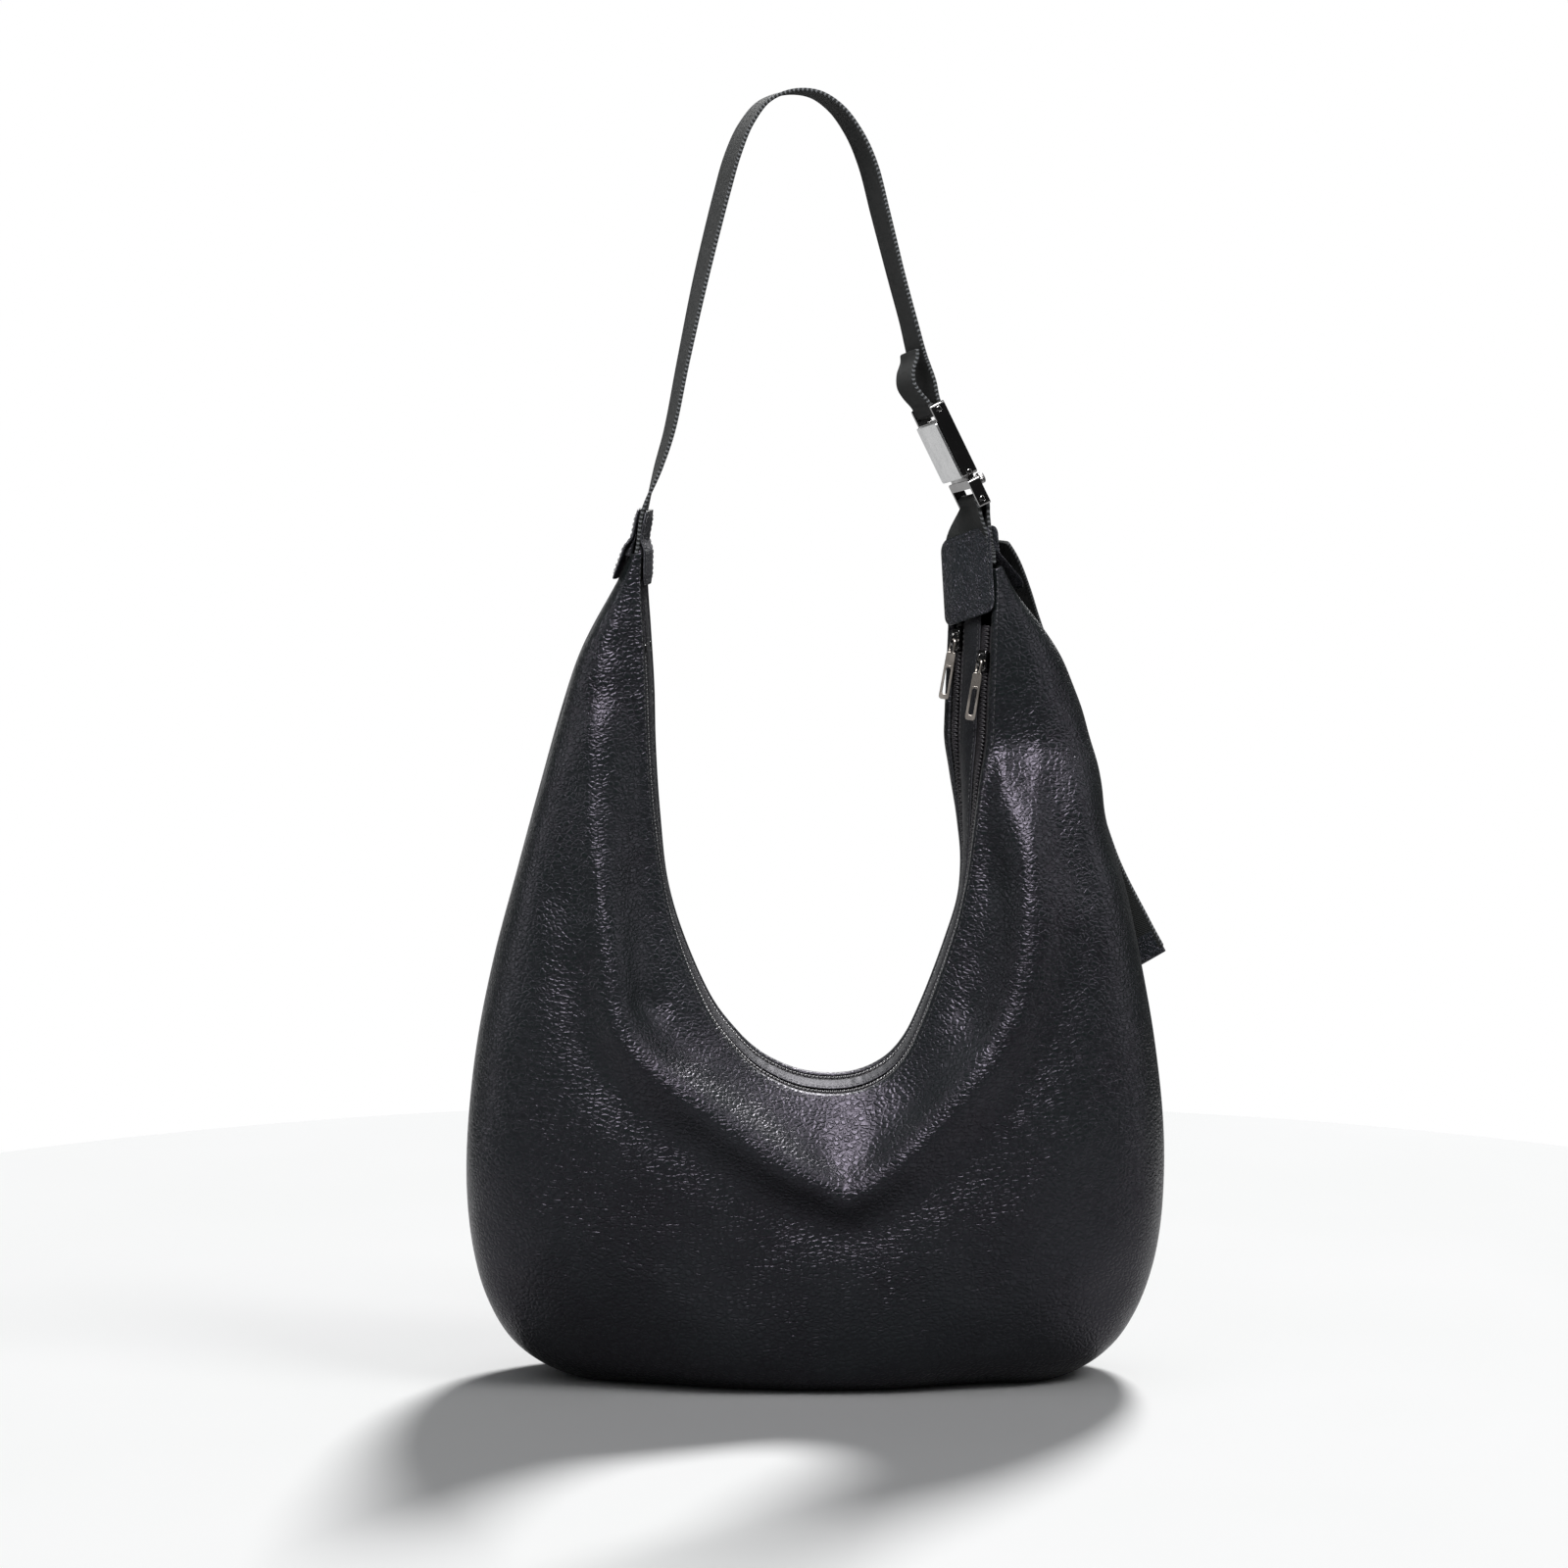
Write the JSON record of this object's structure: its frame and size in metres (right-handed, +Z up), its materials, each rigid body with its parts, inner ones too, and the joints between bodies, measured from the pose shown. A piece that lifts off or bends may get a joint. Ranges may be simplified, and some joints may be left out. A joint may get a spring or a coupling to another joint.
{
  "type": "hobo shoulder bag",
  "caption": "Black leather hobo shoulder bag with a deep curved mouth, twin closed zips, a webbing shoulder strap with a metal buckle, and a loose adjusting tail.",
  "frame": {"origin": "middle of the base on the surface that the bag stands on", "axes": "+Z up, front of the bag towards -Y, the buckle's side towards +X"},
  "size_m": [0.3762, 0.124, 0.6817],
  "materials": {
    "leather": "pebbled faux leather, satin",
    "strip_leather": "pebbled faux leather, satin",
    "tab_leather": "creased faux leather with painted edges",
    "lining": "plain woven lining",
    "board": "matt stiffening board",
    "zip_tape": "ribbed woven tape",
    "zip_coil": "nylon coil, satin",
    "webbing": "woven webbing with ribbed edges",
    "gunmetal": "black nickel, polished",
    "pull_metal": "brushed gunmetal",
    "plate_metal": "mirror polished gunmetal"
  },
  "bodies": {
    "bag": {"front_panel": "leather", "rear_panel": "leather", "front_lining": "lining", "rear_lining": "lining", "divider": "lining", "slip_pocket": "lining", "base_board": "board", "centre_strip": "strip_leather", "front_zip_tape_outer": "zip_tape", "front_zip_tape_inner": "zip_tape", "front_zip_coil": "zip_coil", "front_zip_stop": "gunmetal", "rear_zip_tape_outer": "zip_tape", "rear_zip_tape_inner": "zip_tape", "rear_zip_coil": "zip_coil", "rear_zip_stop": "gunmetal", "left_tab_inner": "tab_leather", "left_tab_outer": "tab_leather", "left_webbing_root": "webbing", "right_tab_inner": "tab_leather", "right_tab_outer": "tab_leather", "right_webbing_root": "webbing"},
    "front_slider": {"front_slider": "gunmetal"},
    "front_pull": {"front_pull": "pull_metal"},
    "rear_slider": {"rear_slider": "gunmetal"},
    "rear_pull": {"rear_pull": "pull_metal"},
    "strap": {"shoulder_webbing": "webbing", "buckle_shell": "gunmetal", "buckle_face_plate": "plate_metal", "top_bar": "gunmetal", "lever_pin": "gunmetal", "lever_spring": "pull_metal", "link_pin": "gunmetal"},
    "release_lever": {"release_lever": "gunmetal"},
    "adjuster": {"adjuster_frame": "gunmetal", "adjuster_bar": "gunmetal", "cam_pin": "gunmetal", "lock_stud": "gunmetal", "adjusting_webbing": "webbing"},
    "cam_lever": {"cam_lever": "gunmetal"},
    "tail": {"tail_webbing": "webbing", "tail_cap": "tab_leather"}
  },
  "joints": [
    {"name": "strap_swing", "type": "hinge", "parent": "bag", "child": "strap", "pos_m": [-0.00254, 0, 0.4845], "axis": [1, 0, 0], "range_deg": [-100, 100]},
    {"name": "adjuster_tilt", "type": "hinge", "parent": "strap", "child": "adjuster", "pos_m": [0.07342, 0, 0.48144], "axis": [-0.196, 0.9759, -0.096], "range_deg": [-15, 15]},
    {"name": "release_lever_lift", "type": "hinge", "parent": "strap", "child": "release_lever", "pos_m": [0.0647, 0.00057, 0.505], "axis": [0.196, -0.9759, 0.096], "range_deg": [0, 22], "stiffness_Nm_per_rad": 0.02, "springref_deg": -11.46},
    {"name": "cam_lever_lift", "type": "hinge", "parent": "adjuster", "child": "cam_lever", "pos_m": [0.08044, 0.00107, 0.47797], "axis": [0.196, -0.9759, 0.096], "range_deg": [0, 70]},
    {"name": "front_zip_run", "type": "slide", "parent": "bag", "child": "front_slider", "axis": [-0.0381, 0, -0.9993], "range_m": [0, 0.03]},
    {"name": "front_pull_swing", "type": "hinge", "parent": "front_slider", "child": "front_pull", "pos_m": [0.08394, -0.0115, 0.38382], "axis": [-0.5588, 0.829, 0.0213], "range_deg": [0, 140]},
    {"name": "rear_zip_run", "type": "slide", "parent": "bag", "child": "rear_slider", "axis": [-0.0381, 0, -0.9993], "range_m": [0, 0.03]},
    {"name": "rear_pull_swing", "type": "hinge", "parent": "rear_slider", "child": "rear_pull", "pos_m": [0.07074, 0.00859, 0.39334], "axis": [-0.5588, 0.829, 0.0213], "range_deg": [0, 140]},
    {"name": "tail_swing", "type": "hinge", "parent": "bag", "child": "tail", "pos_m": [0.08446, 0.008, 0.447], "axis": [0.623, -0.773, 0.12], "range_deg": [0, 60]}
  ]
}
